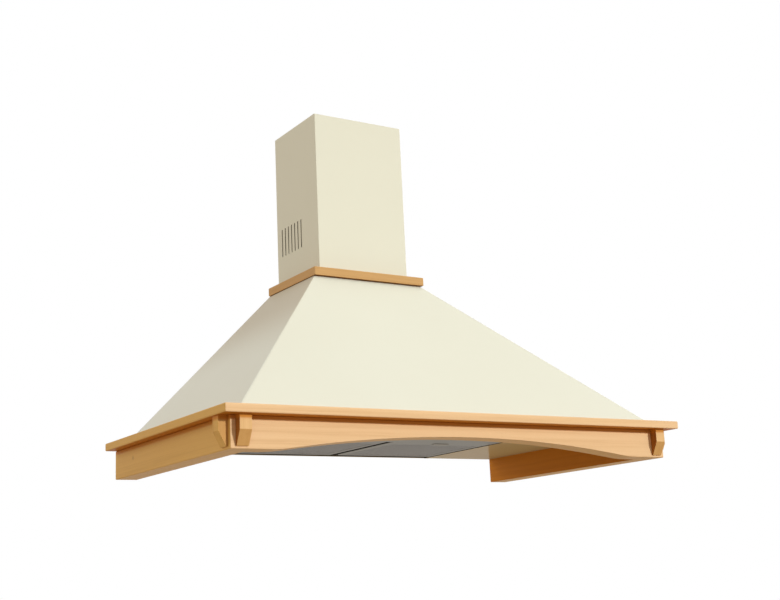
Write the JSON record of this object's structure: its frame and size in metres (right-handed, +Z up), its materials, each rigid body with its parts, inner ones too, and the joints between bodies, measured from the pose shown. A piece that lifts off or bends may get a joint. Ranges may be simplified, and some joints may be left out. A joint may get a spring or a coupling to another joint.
{
  "type": "range hood",
  "caption": "Wall-mounted cooker hood: painted steel pyramid canopy with a telescoping chimney cover, a beech frame with an arched front apron, and hinged grease filters.",
  "frame": {"origin": "on the wall plane at the back, on the centre line, level with the moulding's underside", "axes": "+X to the right seen from the room, +Y into the wall, +Z up"},
  "size_m": [0.9, 0.5, 0.6865],
  "materials": {
    "beech": "clear satin lacquer",
    "cream_paint": "semi-gloss cream paint",
    "plated_steel": "satin",
    "screw_steel": "satin",
    "spring_steel": "satin",
    "motor_casting": "matte",
    "filter_aluminium": "satin",
    "wheel_plastic": "matte",
    "black_plastic": "matte",
    "grey_plastic": "matte",
    "lamp_metal": "satin",
    "lens_glass": "frosted",
    "bulb_glass": "clear",
    "button_plastic": "gloss",
    "seal_rubber": "matte"
  },
  "bodies": {
    "hood": {"moulding_front": "beech", "moulding_left": "beech", "moulding_right": "beech", "apron_front": "beech", "apron_left": "beech", "apron_right": "beech", "corbel_front_left": "beech", "corbel_front_right": "beech", "corbel_side_left": "beech", "corbel_side_right": "beech", "collar_front": "beech", "collar_left": "beech", "collar_right": "beech", "corbel_dowels": "beech", "canopy_front_panel": "cream_paint", "canopy_left_panel": "cream_paint", "canopy_right_panel": "cream_paint", "chimney_outer": "cream_paint", "underside_pan": "cream_paint", "back_panel": "plated_steel", "hanging_plates": "plated_steel", "chimney_wall_bracket": "plated_steel", "duct_plate": "plated_steel", "blower_left_plate": "plated_steel", "blower_right_plate": "plated_steel", "blower_scroll": "plated_steel", "motor_spider": "plated_steel", "filter_rail": "plated_steel", "frame_screws": "screw_steel", "collar_screws": "screw_steel", "plate_screws": "screw_steel", "damper_pin": "screw_steel", "motor_body": "motor_casting", "outlet_spigot": "black_plastic", "cable_gland": "black_plastic", "terminal_box": "black_plastic", "switch_housing": "grey_plastic", "lamp_housings": "lamp_metal", "lamp_lenses": "lens_glass", "lamp_bulbs": "bulb_glass", "rear_seal": "seal_rubber"},
    "chimney_extension": {"chimney_inner": "cream_paint"},
    "filter_left": {"filter_frame_left": "filter_aluminium", "filter_mesh_left": "filter_aluminium"},
    "filter_right": {"filter_frame_right": "filter_aluminium", "filter_mesh_right": "filter_aluminium"},
    "latch_left": {"latch_handle_left": "filter_aluminium", "latch_tongue_left": "spring_steel"},
    "latch_right": {"latch_handle_right": "filter_aluminium", "latch_tongue_right": "spring_steel"},
    "blower_rotor": {"blower_wheel": "wheel_plastic", "motor_shaft": "screw_steel"},
    "damper_front": {"damper_flap_front": "black_plastic"},
    "damper_rear": {"damper_flap_rear": "black_plastic"},
    "push_button_1": {"button_1": "button_plastic"},
    "push_button_2": {"button_2": "button_plastic"},
    "push_button_3": {"button_3": "button_plastic"},
    "push_button_4": {"button_4": "button_plastic"},
    "push_button_5": {"button_5": "button_plastic"}
  },
  "joints": [
    {"name": "chimney_slide", "type": "slide", "parent": "hood", "child": "chimney_extension", "axis": [0, 0, 1], "range_m": [0, 0.25]},
    {"name": "filter_left_hinge", "type": "hinge", "parent": "hood", "child": "filter_left", "pos_m": [0, -0.0272, 0.0045], "axis": [1, 0, 0], "range_deg": [0, 70], "deforming": ["latch_tongue_left"]},
    {"name": "latch_left_slide", "type": "slide", "parent": "filter_left", "child": "latch_left", "axis": [0, 1, 0], "range_m": [0, 0.007], "stiffness_N_per_m": 200, "springref_m": -0.01},
    {"name": "filter_right_hinge", "type": "hinge", "parent": "hood", "child": "filter_right", "pos_m": [0, -0.0272, 0.0045], "axis": [1, 0, 0], "range_deg": [0, 70], "deforming": ["latch_tongue_right"]},
    {"name": "latch_right_slide", "type": "slide", "parent": "filter_right", "child": "latch_right", "axis": [0, 1, 0], "range_m": [0, 0.007], "stiffness_N_per_m": 200, "springref_m": -0.01},
    {"name": "rotor_spin", "type": "hinge", "parent": "hood", "child": "blower_rotor", "pos_m": [0, -0.1322, 0.155], "axis": [1, 0, 0], "continuous": true},
    {"name": "damper_front_hinge", "type": "hinge", "parent": "hood", "child": "damper_front", "pos_m": [0, -0.0802, 0.3305], "axis": [-1, 0, 0], "range_deg": [0, 80]},
    {"name": "damper_rear_hinge", "type": "hinge", "parent": "hood", "child": "damper_rear", "pos_m": [0, -0.0802, 0.3305], "axis": [1, 0, 0], "range_deg": [0, 80]},
    {"name": "button_1_press", "type": "slide", "parent": "hood", "child": "push_button_1", "axis": [0, 0, 1], "range_m": [0, 0.003], "stiffness_N_per_m": 400, "springref_m": -0.003},
    {"name": "button_2_press", "type": "slide", "parent": "hood", "child": "push_button_2", "axis": [0, 0, 1], "range_m": [0, 0.003], "stiffness_N_per_m": 400, "springref_m": -0.003},
    {"name": "button_3_press", "type": "slide", "parent": "hood", "child": "push_button_3", "axis": [0, 0, 1], "range_m": [0, 0.003], "stiffness_N_per_m": 400, "springref_m": -0.003},
    {"name": "button_4_press", "type": "slide", "parent": "hood", "child": "push_button_4", "axis": [0, 0, 1], "range_m": [0, 0.003], "stiffness_N_per_m": 400, "springref_m": -0.003},
    {"name": "button_5_press", "type": "slide", "parent": "hood", "child": "push_button_5", "axis": [0, 0, 1], "range_m": [0, 0.003], "stiffness_N_per_m": 400, "springref_m": -0.003}
  ]
}
